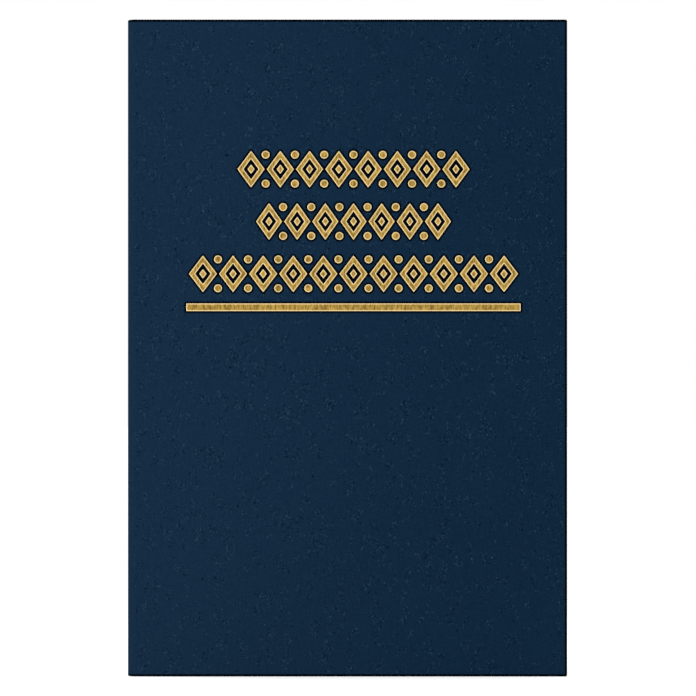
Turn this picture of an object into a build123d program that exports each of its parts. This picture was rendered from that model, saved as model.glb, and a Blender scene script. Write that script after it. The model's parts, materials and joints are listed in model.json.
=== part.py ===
"""A case-bound logbook, standing on its tail with the front cover facing -Y.

Millimetres. +Z runs from the tail of the book to its head, +X from the spine to the fore-edge.
The origin is under the middle of the book, on the surface it stands on. The book is symmetric
about the XZ plane, so pieces of the back cover are modelled first and mirrored to the front.
Heights above that plane are called rises, and both covers turn about the outer edges of the
backed shoulders, where the cover cloth leaves the spine.
"""
from build123d import *
from math import asin, cos, degrees, radians, sin, sqrt, tan
import os

# Case
book_width = 144.5
square = 3.0  # how far the covers overhang the leaves at head, tail and fore-edge
board_thickness = 2.5
cloth_thickness = 0.3
turn_in = 15.0  # cloth folded over the edges of the boards

# Leaves
leaf_height = 210.0
leaf_thickness = 0.1
leaf_gap = 0.025  # air between two leaves of the pressed block
leaves_per_section = 8
section_count = 12
fore_edge_hollow = 1.4  # depth of the concave fore-edge that rounding the spine leaves
endpaper_thickness = 0.15
endpaper_gap = 0.08  # air on both sides of a flyleaf
front_loose_leaves = 5  # the title leaf and the log leaves behind it
back_loose_leaves = 3  # the leaves for notes at the back
leaf_stagger = 0.25  # each deeper leaf bends this much nearer the fore-edge
leaf_root_clearance = 0.1

# Spine
spine_round = 2.0  # how far the spine bulges behind its two shoulder edges
inlay_thickness = 0.6
lining_thickness = 0.2
mull_thickness = 0.15
thread_thickness = 0.2
hollow_clearance = 0.1  # air between the case and the lined back of the leaves
fold_bulge = 0.25  # roundness of each section's folded back

# Shoulder and joint
shoulder_slope = 50.0  # degrees from the plane of the leaves
bend_radius = 0.6
joint_clearance = 0.15  # around the hinge edge, between spine cloth and cover cloth
shoulder_clearance = 0.1  # between a flyleaf and the ends of the spine layers
gutter_clearance = 0.3  # from the foot of the shoulder to the first leaf that turns

# Mull
mull_margin = 15.0  # the mull stops this far from head and tail of the leaves
mull_flap_width = 25.0

# Headbands
band_height = 1.4
band_overlap = 1.1  # how far the bead reaches over the folds
band_rounding = 0.5
band_tape_height = 13.0

# Sewing
stitch_length = 26.0
stitches_per_section = 4
stitch_margin = 22.0

# Blocking on the front cover
deboss_depth = 0.12
foil_thickness = 0.04
title_offset = 2.0  # the blocking is centred on the board, this far from the middle of the book
row_height = 12.1
row_pitch = 17.2
top_row_height = 166.8  # middle of the top row above the tail
row_widths = (77.0, 64.8, 108.9)
row_counts = (8, 7, 11)
lozenge_gap = 0.7
lozenge_hole = 0.56  # of the lozenge
lozenge_heart = 0.26  # of the lozenge
bead_radius = 1.3
rule_width = 109.9
rule_height = 2.5
rule_middle = 121.4  # above the tail

# Stack of layers, as rises above the middle plane of the book
leaf_pitch = leaf_thickness + leaf_gap
section_pitch = leaves_per_section * leaf_pitch
block_rise = section_count * section_pitch / 2
flyleaf_rise = block_rise + endpaper_gap
pastedown_rise = flyleaf_rise + endpaper_thickness + endpaper_gap
board_rise = pastedown_rise + endpaper_thickness
cloth_rise = board_rise + board_thickness
cover_rise = cloth_rise + cloth_thickness
cover_height = leaf_height + 2 * square
cover_end_x = book_width / 2
leaf_end_x = cover_end_x - square
board_end_x = cover_end_x - cloth_thickness

# The spine's layers share one centre. The hinge edge is in the middle of the cloth.
hinge_rise = cover_rise - cloth_thickness / 2
hinge_radius = (hinge_rise**2 + spine_round**2) / (2 * spine_round)
spine_radius = hinge_radius + cloth_thickness / 2
spine_x = spine_radius - book_width / 2
hinge_angle = degrees(asin(hinge_rise / hinge_radius))
hinge_x = spine_x - hinge_radius * cos(radians(hinge_angle))
inlay_radius = spine_radius - cloth_thickness - inlay_thickness
turn_in_radius = inlay_radius - cloth_thickness
lining_radius = turn_in_radius - hollow_clearance - lining_thickness
mull_radius = lining_radius - mull_thickness
fold_radius = mull_radius - thread_thickness
root_radius = fold_radius - fold_bulge

# The sheets that cross the joint run down the shoulder side by side, at depths below the line
# from the hinge edge, and turn flat around one centre
slope = radians(shoulder_slope)
joint_rise = pastedown_rise + endpaper_thickness / 2
flyleaf_top = joint_rise - flyleaf_rise - endpaper_thickness
flyleaf_bottom = joint_rise - flyleaf_rise
block_depth = joint_rise - block_rise
flap_top = -endpaper_thickness / 2 - mull_thickness
flap_start = (hinge_rise - cloth_rise - flap_top * cos(slope)) / sin(slope)
joint_reach = cloth_thickness / 2 + joint_clearance


def on_shoulder(depth, run):
    """Point at this depth below the shoulder line, this far down it from the hinge edge."""
    x = hinge_x - depth * sin(slope) + run * cos(slope)
    return x, hinge_rise - depth * cos(slope) - run * sin(slope)


def shoulder_foot(depth):
    """Corner where the sloping line at this depth meets the flat one."""
    run = (hinge_rise - joint_rise + depth * (1 - cos(slope))) / sin(slope)
    return on_shoulder(depth, run)


def sheet_points(depth, end_x, start=joint_reach):
    """Start, corner and end of one face of a sheet that crosses the joint."""
    return on_shoulder(depth, start), shoulder_foot(depth), (end_x, joint_rise - depth)


def shoulder_run(radius, depth):
    """How far down the line at this depth it meets a circle of the spine."""
    start_x, start_rise = on_shoulder(depth, 0)
    along = (spine_x - start_x) * cos(slope) + start_rise * sin(slope)
    beyond = (start_x - spine_x) ** 2 + start_rise**2 - radius**2
    return along - sqrt(along**2 - beyond)


def shoulder_hit(radius, depth):
    """Point where a circle of the spine meets the sloping line at this depth."""
    return on_shoulder(depth, shoulder_run(radius, depth))


def shoulder_angle(radius):
    """Half angle of a spine layer that stays clear of the flyleaves."""
    return degrees(asin(shoulder_hit(radius, flyleaf_bottom + shoulder_clearance)[1] / radius))


flyleaf_start = shoulder_run(inlay_radius + inlay_thickness - joint_clearance, flyleaf_bottom)
board_x = shoulder_foot(0)[0] + bend_radius * tan(slope / 2)
first_leaf_x = board_x + gutter_clearance
foot_x = shoulder_foot(block_depth)[0]
root_spread = shoulder_hit(root_radius, block_depth)[1] / block_rise
fore_edge_radius = (block_rise**2 + fore_edge_hollow**2) / (2 * fore_edge_hollow)


def spine_point(radius, rise):
    """Point on a circle of the spine at this rise."""
    return spine_x - sqrt(radius**2 - rise**2), rise


def fore_edge_point(rise):
    """Point on the hollow fore-edge of the leaves at this rise."""
    bow = sqrt(fore_edge_radius**2 - rise**2) - sqrt(fore_edge_radius**2 - block_rise**2)
    return leaf_end_x - bow, rise


def spine_strip(inner_radius, thickness, base):
    """Sketch of a curved strip along the spine, at a height above the tail."""
    half_angle = shoulder_angle(inner_radius)
    with BuildSketch(Plane.XY.offset(base)) as strip:
        with BuildLine():
            inside = CenterArc((spine_x, 0), inner_radius, 180 - half_angle, 2 * half_angle)
            outside = CenterArc(
                (spine_x, 0), inner_radius + thickness, 180 - half_angle, 2 * half_angle
            )
            Line(inside @ 0, outside @ 0)
            Line(inside @ 1, outside @ 1)
        make_face()
    return strip.sketch


def save(piece, name):
    """Label a finished piece and write it to its own STEP file."""
    piece.part.label = name
    export_step(piece.part, f"parts/{name}.step")


os.makedirs("parts", exist_ok=True)

# ---------------------------------------------------------------- boards

with BuildPart() as back_board:
    with BuildSketch(Plane.XY.offset(cloth_thickness)):
        with Locations((board_x, board_rise)):
            Rectangle(board_end_x - board_x, board_thickness, align=Align.MIN)
    extrude(amount=cover_height - 2 * cloth_thickness)
    # the pressed border that takes the turned-in cloth, with a gap at the spine side
    with Locations((cover_end_x - turn_in, board_rise, 0)):
        Box(turn_in, cloth_thickness, cover_height, align=Align.MIN, mode=Mode.SUBTRACT)
    for base in (0, cover_height - turn_in):
        with Locations((board_x, board_rise, base)):
            Box(cover_end_x - board_x, cloth_thickness, turn_in, align=Align.MIN, mode=Mode.SUBTRACT)
    # the shallow bed of the mull flap
    with Locations((board_x, board_rise, square + mull_margin)):
        Box(
            mull_flap_width,
            mull_thickness,
            leaf_height - 2 * mull_margin,
            align=Align.MIN,
            mode=Mode.SUBTRACT,
        )
save(back_board, "back_board")

with BuildPart() as front_board:
    mirror(back_board.part, about=Plane.XZ)
save(front_board, "front_board")

# ---------------------------------------------------------------- cover cloth

with BuildPart() as back_cover_cloth:
    with BuildSketch():
        with Locations((hinge_x, cloth_rise)):
            Rectangle(cover_end_x - hinge_x, cloth_thickness, align=Align.MIN)
        with Locations((board_end_x, board_rise)):
            Rectangle(cloth_thickness, board_thickness, align=Align.MIN)
        with Locations((cover_end_x - turn_in, board_rise)):
            Rectangle(turn_in, cloth_thickness, align=Align.MIN)
    extrude(amount=cover_height)
    # over the tail and head edges of the board, and turned in behind it
    for edge, flap in ((0, 0), (cover_height - cloth_thickness, cover_height - turn_in)):
        with Locations((board_x, board_rise, edge)):
            Box(board_end_x - board_x, board_thickness, cloth_thickness, align=Align.MIN)
        with Locations((board_x, board_rise, flap)):
            Box(board_end_x - board_x, cloth_thickness, turn_in, align=Align.MIN)
    # room around the hinge edge
    with Locations((hinge_x, hinge_rise, 0)):
        Cylinder(
            joint_reach,
            cover_height,
            align=(Align.CENTER, Align.CENTER, Align.MIN),
            mode=Mode.SUBTRACT,
        )
save(back_cover_cloth, "back_cover_cloth")


def row_plane(row):
    """Plane of a row of the blocking, on the face of the front cover."""
    middle = (title_offset, -cover_rise, top_row_height - row * row_pitch)
    return Plane(middle, x_dir=(1, 0, 0), z_dir=(0, -1, 0))


def lozenge(width, height):
    """Corners of a lozenge."""
    return (-width / 2, 0), (0, -height / 2), (width / 2, 0), (0, height / 2)


def ornament(plane, width, count):
    """Sketch of a row of pierced lozenges, with beads in the notches between them."""
    pitch = width / count
    size = pitch - lozenge_gap
    with BuildSketch(plane) as row:
        with GridLocations(pitch, 0, count, 1):
            Polygon(*lozenge(size, row_height))
            Polygon(*lozenge(size * lozenge_hole, row_height * lozenge_hole), mode=Mode.SUBTRACT)
            Polygon(*lozenge(size * lozenge_heart, row_height * lozenge_heart))
        with GridLocations(pitch, row_height - 2 * bead_radius, count - 1, 2):
            Circle(bead_radius)
    return row.sketch


def rule(plane):
    """Sketch of the plain rule under the rows."""
    with BuildSketch(plane) as bar:
        Rectangle(rule_width, rule_height)
    return bar.sketch


rule_plane = Plane((title_offset, -cover_rise, rule_middle), x_dir=(1, 0, 0), z_dir=(0, -1, 0))
rows = list(enumerate(zip(row_widths, row_counts)))

with BuildPart() as front_cover_cloth:
    mirror(back_cover_cloth.part, about=Plane.XZ)
    for row, (width, count) in rows:
        extrude(ornament(row_plane(row), width, count), amount=-deboss_depth, mode=Mode.SUBTRACT)
    extrude(rule(rule_plane), amount=-deboss_depth, mode=Mode.SUBTRACT)
save(front_cover_cloth, "front_cover_cloth")

# ---------------------------------------------------------------- foil

for row, (width, count) in rows:
    with BuildPart() as foil_row:
        floor = row_plane(row).offset(-deboss_depth)
        extrude(ornament(floor, width, count), amount=foil_thickness)
    save(foil_row, f"foil_row_{row + 1}")

with BuildPart() as foil_rule:
    extrude(rule(rule_plane.offset(-deboss_depth)), amount=foil_thickness)
save(foil_rule, "foil_rule")

# ---------------------------------------------------------------- mull flaps, pastedowns, flyleaves

with BuildPart() as back_mull_flap:
    with BuildSketch(Plane.XY.offset(square + mull_margin)):
        with BuildLine():
            flap_end_x = board_x + mull_flap_width
            top = FilletPolyline(
                *sheet_points(flap_top, flap_end_x, flap_start), radius=bend_radius + flap_top
            )
            bottom = FilletPolyline(
                *sheet_points(-endpaper_thickness / 2, flap_end_x, flap_start),
                radius=bend_radius - endpaper_thickness / 2,
            )
            Line(top @ 0, bottom @ 0)
            Line(top @ 1, bottom @ 1)
        make_face()
    extrude(amount=leaf_height - 2 * mull_margin)
save(back_mull_flap, "back_mull_flap")

with BuildPart() as front_mull_flap:
    mirror(back_mull_flap.part, about=Plane.XZ)
save(front_mull_flap, "front_mull_flap")

with BuildPart() as back_pastedown:
    with BuildSketch(Plane.XY.offset(square)):
        with BuildLine():
            top = FilletPolyline(
                *sheet_points(-endpaper_thickness / 2, leaf_end_x),
                radius=bend_radius - endpaper_thickness / 2,
            )
            bottom = FilletPolyline(
                *sheet_points(endpaper_thickness / 2, leaf_end_x),
                radius=bend_radius + endpaper_thickness / 2,
            )
            Line(top @ 0, bottom @ 0)
            Line(top @ 1, bottom @ 1)
        make_face()
    extrude(amount=leaf_height)
save(back_pastedown, "back_pastedown")

with BuildPart() as front_pastedown:
    mirror(back_pastedown.part, about=Plane.XZ)
save(front_pastedown, "front_pastedown")

with BuildPart() as back_flyleaf:
    with BuildSketch(Plane.XY.offset(square)):
        with BuildLine():
            top = FilletPolyline(
                *sheet_points(flyleaf_top, leaf_end_x, flyleaf_start),
                radius=bend_radius + flyleaf_top,
            )
            bottom = FilletPolyline(
                *sheet_points(flyleaf_bottom, leaf_end_x, flyleaf_start),
                radius=bend_radius + flyleaf_bottom,
            )
            Line(top @ 0, bottom @ 0)
            Line(top @ 1, bottom @ 1)
        make_face()
    extrude(amount=leaf_height)
save(back_flyleaf, "back_flyleaf")

with BuildPart() as front_flyleaf:
    mirror(back_flyleaf.part, about=Plane.XZ)
save(front_flyleaf, "front_flyleaf")

# ---------------------------------------------------------------- loose leaves


def leaf_x(index):
    """Where the loose leaf at this place from the outside of the block bends."""
    return first_leaf_x + index * leaf_stagger


def leaf_rise(index):
    """Outer face of the loose leaf at this place from the outside of the block."""
    return block_rise - index * leaf_pitch


def loose_leaf(index):
    """Sketch of a leaf on the back half of the block."""
    rise = leaf_rise(index)
    with BuildSketch(Plane.XY.offset(square)) as sheet:
        with Locations((leaf_x(index), rise)):
            Rectangle(
                fore_edge_point(rise)[0] - leaf_x(index),
                leaf_thickness,
                align=(Align.MIN, Align.MAX),
            )
    return sheet.sketch


front_names = ["title_leaf"] + [f"log_leaf_{i}" for i in range(1, front_loose_leaves)]
for index, name in enumerate(front_names):
    with BuildPart() as front_leaf:
        extrude(mirror(loose_leaf(index), about=Plane.XZ, mode=Mode.PRIVATE), amount=leaf_height)
    save(front_leaf, name)

for index in range(back_loose_leaves):
    with BuildPart() as back_leaf:
        extrude(loose_leaf(index), amount=leaf_height)
    save(back_leaf, f"notes_leaf_{index + 1}")

# ---------------------------------------------------------------- sections


def layer_points(rise):
    """Root at the fold, foot of the shoulder and fore-edge of the layer at this rise."""
    return spine_point(root_radius, rise * root_spread), (foot_x, rise), fore_edge_point(rise)


def section(low, high):
    """One folded section between two rises, from its rounded back to the fore-edge."""
    middle = (low + high) / 2
    with BuildPart() as folded:
        with BuildSketch(Plane.XY.offset(square)):
            with BuildLine():
                for rise in (low, high):
                    if abs(rise) < section_pitch / 2:
                        Polyline(*layer_points(rise))
                    else:
                        FilletPolyline(*layer_points(rise), radius=bend_radius + block_depth)
                ThreePointArc(
                    layer_points(low)[0],
                    spine_point(fold_radius, middle * root_spread),
                    layer_points(high)[0],
                )
                ThreePointArc(
                    fore_edge_point(low), fore_edge_point(middle), fore_edge_point(high)
                )
            make_face()
        extrude(amount=leaf_height)
    return folded.part


for number in range(section_count):
    low = number * section_pitch - block_rise + leaf_gap / 2
    high = low + section_pitch - leaf_gap
    if number == 0:
        low, loose, side = -block_rise, front_loose_leaves, -1
    elif number == section_count - 1:
        high, loose, side = block_rise, back_loose_leaves, 1
    else:
        loose, side = 0, 0
    with BuildPart() as folded_section:
        add(section(low, high))
        # the bed of each leaf that turns
        for index in range(loose):
            bed_x = leaf_x(index) - leaf_root_clearance
            with Locations((bed_x, side * leaf_rise(index), square)):
                Box(
                    cover_end_x - bed_x,
                    2 * leaf_pitch,
                    leaf_height,
                    align=(Align.MIN, Align.CENTER, Align.MIN),
                    mode=Mode.SUBTRACT,
                )
    save(folded_section, f"section_{number + 1:02d}")

# ---------------------------------------------------------------- sewing

with BuildPart() as sewing_threads:
    stitch_pitch = (leaf_height - 2 * stitch_margin - stitch_length) / (stitches_per_section - 1)
    for number in range(section_count):
        rise = ((number + 0.5) * section_pitch - block_rise) * root_spread
        thread_x, thread_rise = spine_point(fold_radius + thread_thickness / 2, rise)
        for stitch in range(stitches_per_section):
            base = square + stitch_margin + stitch * stitch_pitch
            with Locations((thread_x, thread_rise, base)):
                Cylinder(
                    thread_thickness / 2,
                    stitch_length,
                    align=(Align.CENTER, Align.CENTER, Align.MIN),
                )
save(sewing_threads, "sewing_threads")

# ---------------------------------------------------------------- back of the block

with BuildPart() as spine_mull:
    extrude(
        spine_strip(mull_radius, mull_thickness, square + mull_margin),
        amount=leaf_height - 2 * mull_margin,
    )
save(spine_mull, "spine_mull")

with BuildPart() as spine_lining:
    extrude(spine_strip(lining_radius, lining_thickness, square), amount=leaf_height)
save(spine_lining, "spine_lining")

with BuildPart() as headband:
    bead_thickness = band_overlap + thread_thickness + mull_thickness
    extrude(
        spine_strip(fold_radius - band_overlap, bead_thickness, square + leaf_height),
        amount=band_height,
    )
    fillet(headband.faces().sort_by(Axis.Z)[-1].edges().filter_by(GeomType.CIRCLE), band_rounding)
    extrude(
        spine_strip(mull_radius, mull_thickness, square + leaf_height - band_tape_height),
        amount=band_tape_height,
    )
save(headband, "headband")

with BuildPart() as tailband:
    mirror(headband.part, about=Plane.XY.offset(cover_height / 2))
save(tailband, "tailband")

# ---------------------------------------------------------------- spine of the case

with BuildPart() as spine_inlay:
    extrude(
        spine_strip(inlay_radius, inlay_thickness, cloth_thickness),
        amount=cover_height - 2 * cloth_thickness,
    )
save(spine_inlay, "spine_inlay")

with BuildPart() as spine_cloth:
    with BuildSketch():
        with BuildLine(mode=Mode.PRIVATE) as cloth_middle:
            CenterArc((spine_x, 0), hinge_radius, 180 - hinge_angle, 2 * hinge_angle)
        SlotArc(cloth_middle.wire(), cloth_thickness)
    extrude(amount=cover_height)
    # over the ends of the inlay, and turned in behind it
    for edge, flap in ((0, 0), (cover_height - cloth_thickness, cover_height - turn_in)):
        extrude(
            spine_strip(turn_in_radius, spine_radius - cloth_thickness - turn_in_radius, edge),
            amount=cloth_thickness,
        )
        extrude(spine_strip(turn_in_radius, cloth_thickness, flap), amount=turn_in)
save(spine_cloth, "spine_cloth")
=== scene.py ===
"""The looks of a case-bound logbook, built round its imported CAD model. Metres, same frame."""
import json
import math
import random

import bmesh
import bpy
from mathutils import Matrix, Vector
from mathutils.geometry import delaunay_2d_cdt


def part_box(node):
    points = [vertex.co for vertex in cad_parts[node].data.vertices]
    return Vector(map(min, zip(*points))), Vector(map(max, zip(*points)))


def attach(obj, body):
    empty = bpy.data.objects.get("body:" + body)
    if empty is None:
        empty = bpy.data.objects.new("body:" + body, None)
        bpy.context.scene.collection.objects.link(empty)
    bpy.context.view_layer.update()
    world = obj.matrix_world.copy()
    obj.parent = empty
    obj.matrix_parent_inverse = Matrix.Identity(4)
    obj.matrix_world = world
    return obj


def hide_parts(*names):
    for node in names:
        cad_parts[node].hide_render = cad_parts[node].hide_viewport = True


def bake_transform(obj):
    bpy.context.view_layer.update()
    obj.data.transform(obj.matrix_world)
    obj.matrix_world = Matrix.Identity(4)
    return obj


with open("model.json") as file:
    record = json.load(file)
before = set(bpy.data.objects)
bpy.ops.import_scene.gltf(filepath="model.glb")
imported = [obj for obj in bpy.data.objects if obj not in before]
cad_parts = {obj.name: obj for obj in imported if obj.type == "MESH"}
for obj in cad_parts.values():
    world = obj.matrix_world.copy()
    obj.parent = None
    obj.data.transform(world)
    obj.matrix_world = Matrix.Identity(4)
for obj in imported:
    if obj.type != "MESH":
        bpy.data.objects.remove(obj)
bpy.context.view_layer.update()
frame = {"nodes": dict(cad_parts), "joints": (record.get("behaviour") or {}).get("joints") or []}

MM = 0.001
random.seed(12)

# ---------------------------------------------------------------- places, from the frame

cover_lo, cover_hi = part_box("back_cover_cloth")
board_lo, board_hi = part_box("back_board")
spine_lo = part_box("spine_cloth")[0]
title_lo, title_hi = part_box("title_leaf")
pages_lo, pages_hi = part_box("section_06")
hinges = {joint["name"]: joint for joint in frame["joints"]}
hinge_x, hinge_y = hinges["back_cover_hinge"]["pos_m"][:2]

cloth = cover_hi.x - board_hi.x
face = cover_hi.y  # outer face of a cover, above the middle plane
inside = cover_lo.y  # inner face of a cover's board
height = cover_hi.z
low, high = pages_lo.z, pages_hi.z  # tail and head of the leaves
block = -title_lo.y  # half the thickness of the leaves
paper = title_hi.y - title_lo.y
leaf_end_x = title_hi.x

# the spine's circles, from the chord and the bow of the middle of the cloth
bow = hinge_x - spine_lo.x - cloth / 2
hinge_radius = (hinge_y**2 + bow**2) / (2 * bow)
spine_radius = hinge_radius + cloth / 2
spine_x = spine_lo.x + spine_radius
hinge_angle = math.asin(hinge_y / hinge_radius)
fold_radius = spine_x - pages_lo.x
root_spread = -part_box("section_01")[0].y / block

SECTIONS = 12
LEAVES = 8
section_pitch = 2 * block / SECTIONS
leaf_pitch = section_pitch / LEAVES
SHOULDER_SLOPE = math.radians(50)
SHOULDER_SETBACK = 0.45 * MM  # the foot of the shoulder, behind the board's edge
foot_x = board_lo.x - SHOULDER_SETBACK
BOARD_WRAP = 0.12 * MM  # of the cloth, past the spine side of the board
plate_x = board_lo.x - BOARD_WRAP
TURN_IN = 15 * MM


# ---------------------------------------------------------------- materials


class Material:
    """A node material round one Principled shader."""

    def __init__(self, name, **constants):
        self.made = bpy.data.materials.new(name)
        self.made.use_nodes = True
        self.tree = self.made.node_tree
        self.shader = self.tree.nodes["Principled BSDF"]
        for key, value in constants.items():
            self.shader.inputs[key.replace("_", " ")].default_value = value

    def add(self, kind, settings=None, **inputs):
        """Adds a node. An input is a number, a colour or another node's output."""
        node = self.tree.nodes.new("ShaderNode" + kind)
        for key, value in (settings or {}).items():
            setattr(node, key, value)
        for key, value in inputs.items():
            target = node.inputs[int(key[1:]) if key[0] == "i" and key[1:].isdigit() else key]
            self.set(target, value)
        return node

    def set(self, target, value):
        """Links a socket or sets its value."""
        if isinstance(value, bpy.types.NodeSocket):
            self.tree.links.new(value, target)
        elif isinstance(value, tuple) and len(value) == 3 and target.type == "RGBA":
            target.default_value = (*value, 1)
        else:
            target.default_value = value

    def feed(self, key, value):
        """Gives a socket of the shader its value."""
        self.set(self.shader.inputs[key], value)

    def math(self, operation, first, second=0.0):
        """Output of one Math node."""
        return self.add("Math", {"operation": operation}, i0=first, i1=second).outputs[0]

    def mix(self, share, first, second):
        """Colour between two colours."""
        made = self.add("Mix", {"data_type": "RGBA"})
        self.set(made.inputs[0], share)
        self.set(made.inputs[6], first)
        self.set(made.inputs[7], second)
        return made.outputs[2]

    def ramp(self, value, start, end, to_low=0.0, to_high=1.0):
        """Smooth step of a value from one range to another."""
        made = self.add(
            "MapRange",
            {"interpolation_type": "SMOOTHSTEP"},
            i0=value,
            i1=start,
            i2=end,
            i3=to_low,
            i4=to_high,
        )
        return made.outputs[0]

    def place(self, sizes):
        """Object coordinates, divided by a grain size in metres along each axis."""
        coordinates = self.add("TexCoord").outputs["Object"]
        scaled = self.add(
            "Mapping", {"vector_type": "POINT"}, Vector=coordinates, Scale=[1 / s for s in sizes]
        )
        return scaled.outputs[0]

    def noise(self, sizes, detail=2.0, rough=0.5):
        """Noise with a grain size in metres along each axis."""
        made = self.add(
            "TexNoise", Vector=self.place(sizes), Scale=1.0, Detail=detail, Roughness=rough
        )
        return made.outputs[0]

    def attribute(self, name):
        """A number painted on the mesh."""
        return self.add("Attribute", {"attribute_name": name}).outputs["Fac"]

    def bump(self, relief, distance, strength):
        """Feeds the shader a normal bumped by a relief."""
        made = self.add("Bump", Strength=strength, Distance=distance, Height=relief)
        self.feed("Normal", made.outputs[0])


def book_cloth():
    """Navy book cloth: fine threads, sparse pale and dark flecks, a painted light that makes it
    lighter towards the spine side, and near-black painted shade round the foil, along its edges
    and on its inside.
    """
    m = Material("navy_book_cloth", Roughness=0.8, Specular_IOR_Level=0.0)
    thread = 0.42 * MM
    warp = m.noise((thread, thread, 9 * thread), 3.0, 0.6)
    weft = m.noise((9 * thread, thread, thread), 3.0, 0.6)
    grain = m.noise((0.55 * MM,) * 3, 4.0, 0.65)
    cloud = m.noise((22 * MM, 22 * MM, 34 * MM), 2.0)
    threads = m.math("ADD", m.math("MULTIPLY", warp, 0.6), m.math("MULTIPLY", weft, 0.4))
    tone = m.math("ADD", m.math("MULTIPLY", threads, 0.55), m.math("MULTIPLY", grain, 0.45))
    across = m.add("SeparateXYZ", Vector=m.add("TexCoord").outputs["Object"]).outputs[0]
    # painted light: the cloth is made lighter towards the spine side, as if lit from there
    painted_side_light = m.ramp(across, 60 * MM, -75 * MM)
    hollow = m.mix(painted_side_light, (0.0034, 0.0129, 0.0298), (0.0046, 0.0155, 0.0344))
    raised = m.mix(painted_side_light, (0.0053, 0.0178, 0.0396), (0.0073, 0.0217, 0.0458))
    colour = m.mix(m.ramp(tone, 0.36, 0.64), hollow, raised)
    colour = m.mix(m.ramp(cloud, 0.35, 0.7, 0.0, 0.16), colour, (0.0055, 0.02, 0.042))
    flecks = m.noise((0.45 * MM, 0.45 * MM, 0.6 * MM), 1.0)
    patches = m.ramp(m.noise((2.8 * MM, 2.8 * MM, 4.5 * MM), 2.0), 0.48, 0.62, 0.12, 1.0)
    lint = m.math("MULTIPLY", m.ramp(flecks, 0.62, 0.72), patches)
    colour = m.mix(lint, colour, (0.0185, 0.043, 0.072))
    pinholes = m.math("MULTIPLY", m.ramp(flecks, 0.38, 0.3), patches)
    colour = m.mix(pinholes, colour, (0.0012, 0.005, 0.0138))
    # painted shade: near black round the foil, along the edges and ends, and on the cloth inside
    # the case
    painted_shade = m.ramp(m.attribute("painted_shade"), 0.0, 1.0, 0.0, 0.94)
    m.feed("Base Color", m.mix(painted_shade, colour, (0.0004, 0.0009, 0.0024)))
    relief = m.math("ADD", threads, m.math("MULTIPLY", grain, 0.7))
    m.bump(relief, 0.05 * MM, 0.55)
    return m.made


def gold_foil():
    """Hot-stamped gold foil: satin, mottled and streaked, with a painted highlight at its rim."""
    m = Material("gold_foil", Metallic=1.0)
    mottle = m.noise((0.9 * MM, 0.9 * MM, 1.6 * MM), 4.0, 0.6)
    streak = m.noise((0.35 * MM, 0.35 * MM, 3.2 * MM), 3.0, 0.6)
    tone = m.math("ADD", m.math("MULTIPLY", mottle, 0.45), m.math("MULTIPLY", streak, 0.55))
    colour = m.mix(m.ramp(tone, 0.38, 0.62), (0.19, 0.115, 0.021), (0.5, 0.325, 0.072))
    # painted highlight: the foil's rim is painted lighter, as where it turns up to the light
    rim = m.math("MULTIPLY", m.attribute("rim"), 0.9)
    m.feed("Base Color", m.mix(rim, colour, (0.9, 0.68, 0.34)))
    m.feed("Roughness", m.ramp(mottle, 0.3, 0.7, 0.3, 0.46))
    m.bump(streak, 0.03 * MM, 0.5)
    return m.made


def paper_nodes(name, pale, dark):
    """Uncoated paper with fine fibres and a tone of its own for each leaf."""
    m = Material(name, Roughness=0.86, Specular_IOR_Level=0.25)
    fibre = m.noise((0.5 * MM, 0.5 * MM, 1.1 * MM), 4.0, 0.7)
    cloud = m.noise((14 * MM,) * 3, 2.0, 0.6)
    tone = m.math("ADD", m.math("MULTIPLY", fibre, 0.7), m.math("MULTIPLY", cloud, 0.3))
    colour = m.mix(m.ramp(tone, 0.3, 0.7), dark, pale)
    leaf = m.ramp(m.attribute("tone"), 0.0, 1.0, 0.0, 0.4)
    m.bump(fibre, 0.02 * MM, 0.35)
    return m, m.mix(leaf, colour, tuple(0.72 * c for c in dark))


PALE_PAPER, DARK_PAPER = (0.79, 0.765, 0.69), (0.745, 0.715, 0.63)
RULING_INK = (0.09, 0.17, 0.3)
INK_STRENGTH = 0.75
TINT_STRENGTH = 0.16


def near(m, value, places, width):
    """1 within half a width of any of the places, else 0."""
    found = None
    for place in places:
        off = m.math("ABSOLUTE", m.math("SUBTRACT", value, place))
        hit = m.math("LESS_THAN", off, width / 2)
        found = hit if found is None else m.math("MAXIMUM", found, hit)
    return found


def every(m, value, start, pitch, width):
    """1 on lines that repeat at a pitch, else 0."""
    off = m.math("PINGPONG", m.math("SUBTRACT", value, start), pitch / 2)
    return m.math("LESS_THAN", off, width / 2)


def between(m, value, first, last):
    """1 between two places, else 0."""
    above = m.math("GREATER_THAN", value, first)
    return m.math("MULTIPLY", above, m.math("LESS_THAN", value, last))


def page(name, layout):
    """Printed page. The ruling follows the sheet's own map, and stays off its edges."""
    m, colour = paper_nodes(name, PALE_PAPER, DARK_PAPER)
    flat = m.add("SeparateXYZ", Vector=m.add("UVMap", {"uv_map": "page"}).outputs[0])
    across, up = flat.outputs[0], flat.outputs[1]
    print_mask, tint_mask = layout(m, across, up)
    on_face = m.attribute("face")
    tinted = m.math("MULTIPLY", m.math("MULTIPLY", tint_mask, on_face), TINT_STRENGTH)
    colour = m.mix(tinted, colour, RULING_INK)
    inked = m.math("MULTIPLY", m.math("MULTIPLY", print_mask, on_face), INK_STRENGTH)
    m.feed("Base Color", m.mix(inked, colour, RULING_INK))
    return m.made


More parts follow.
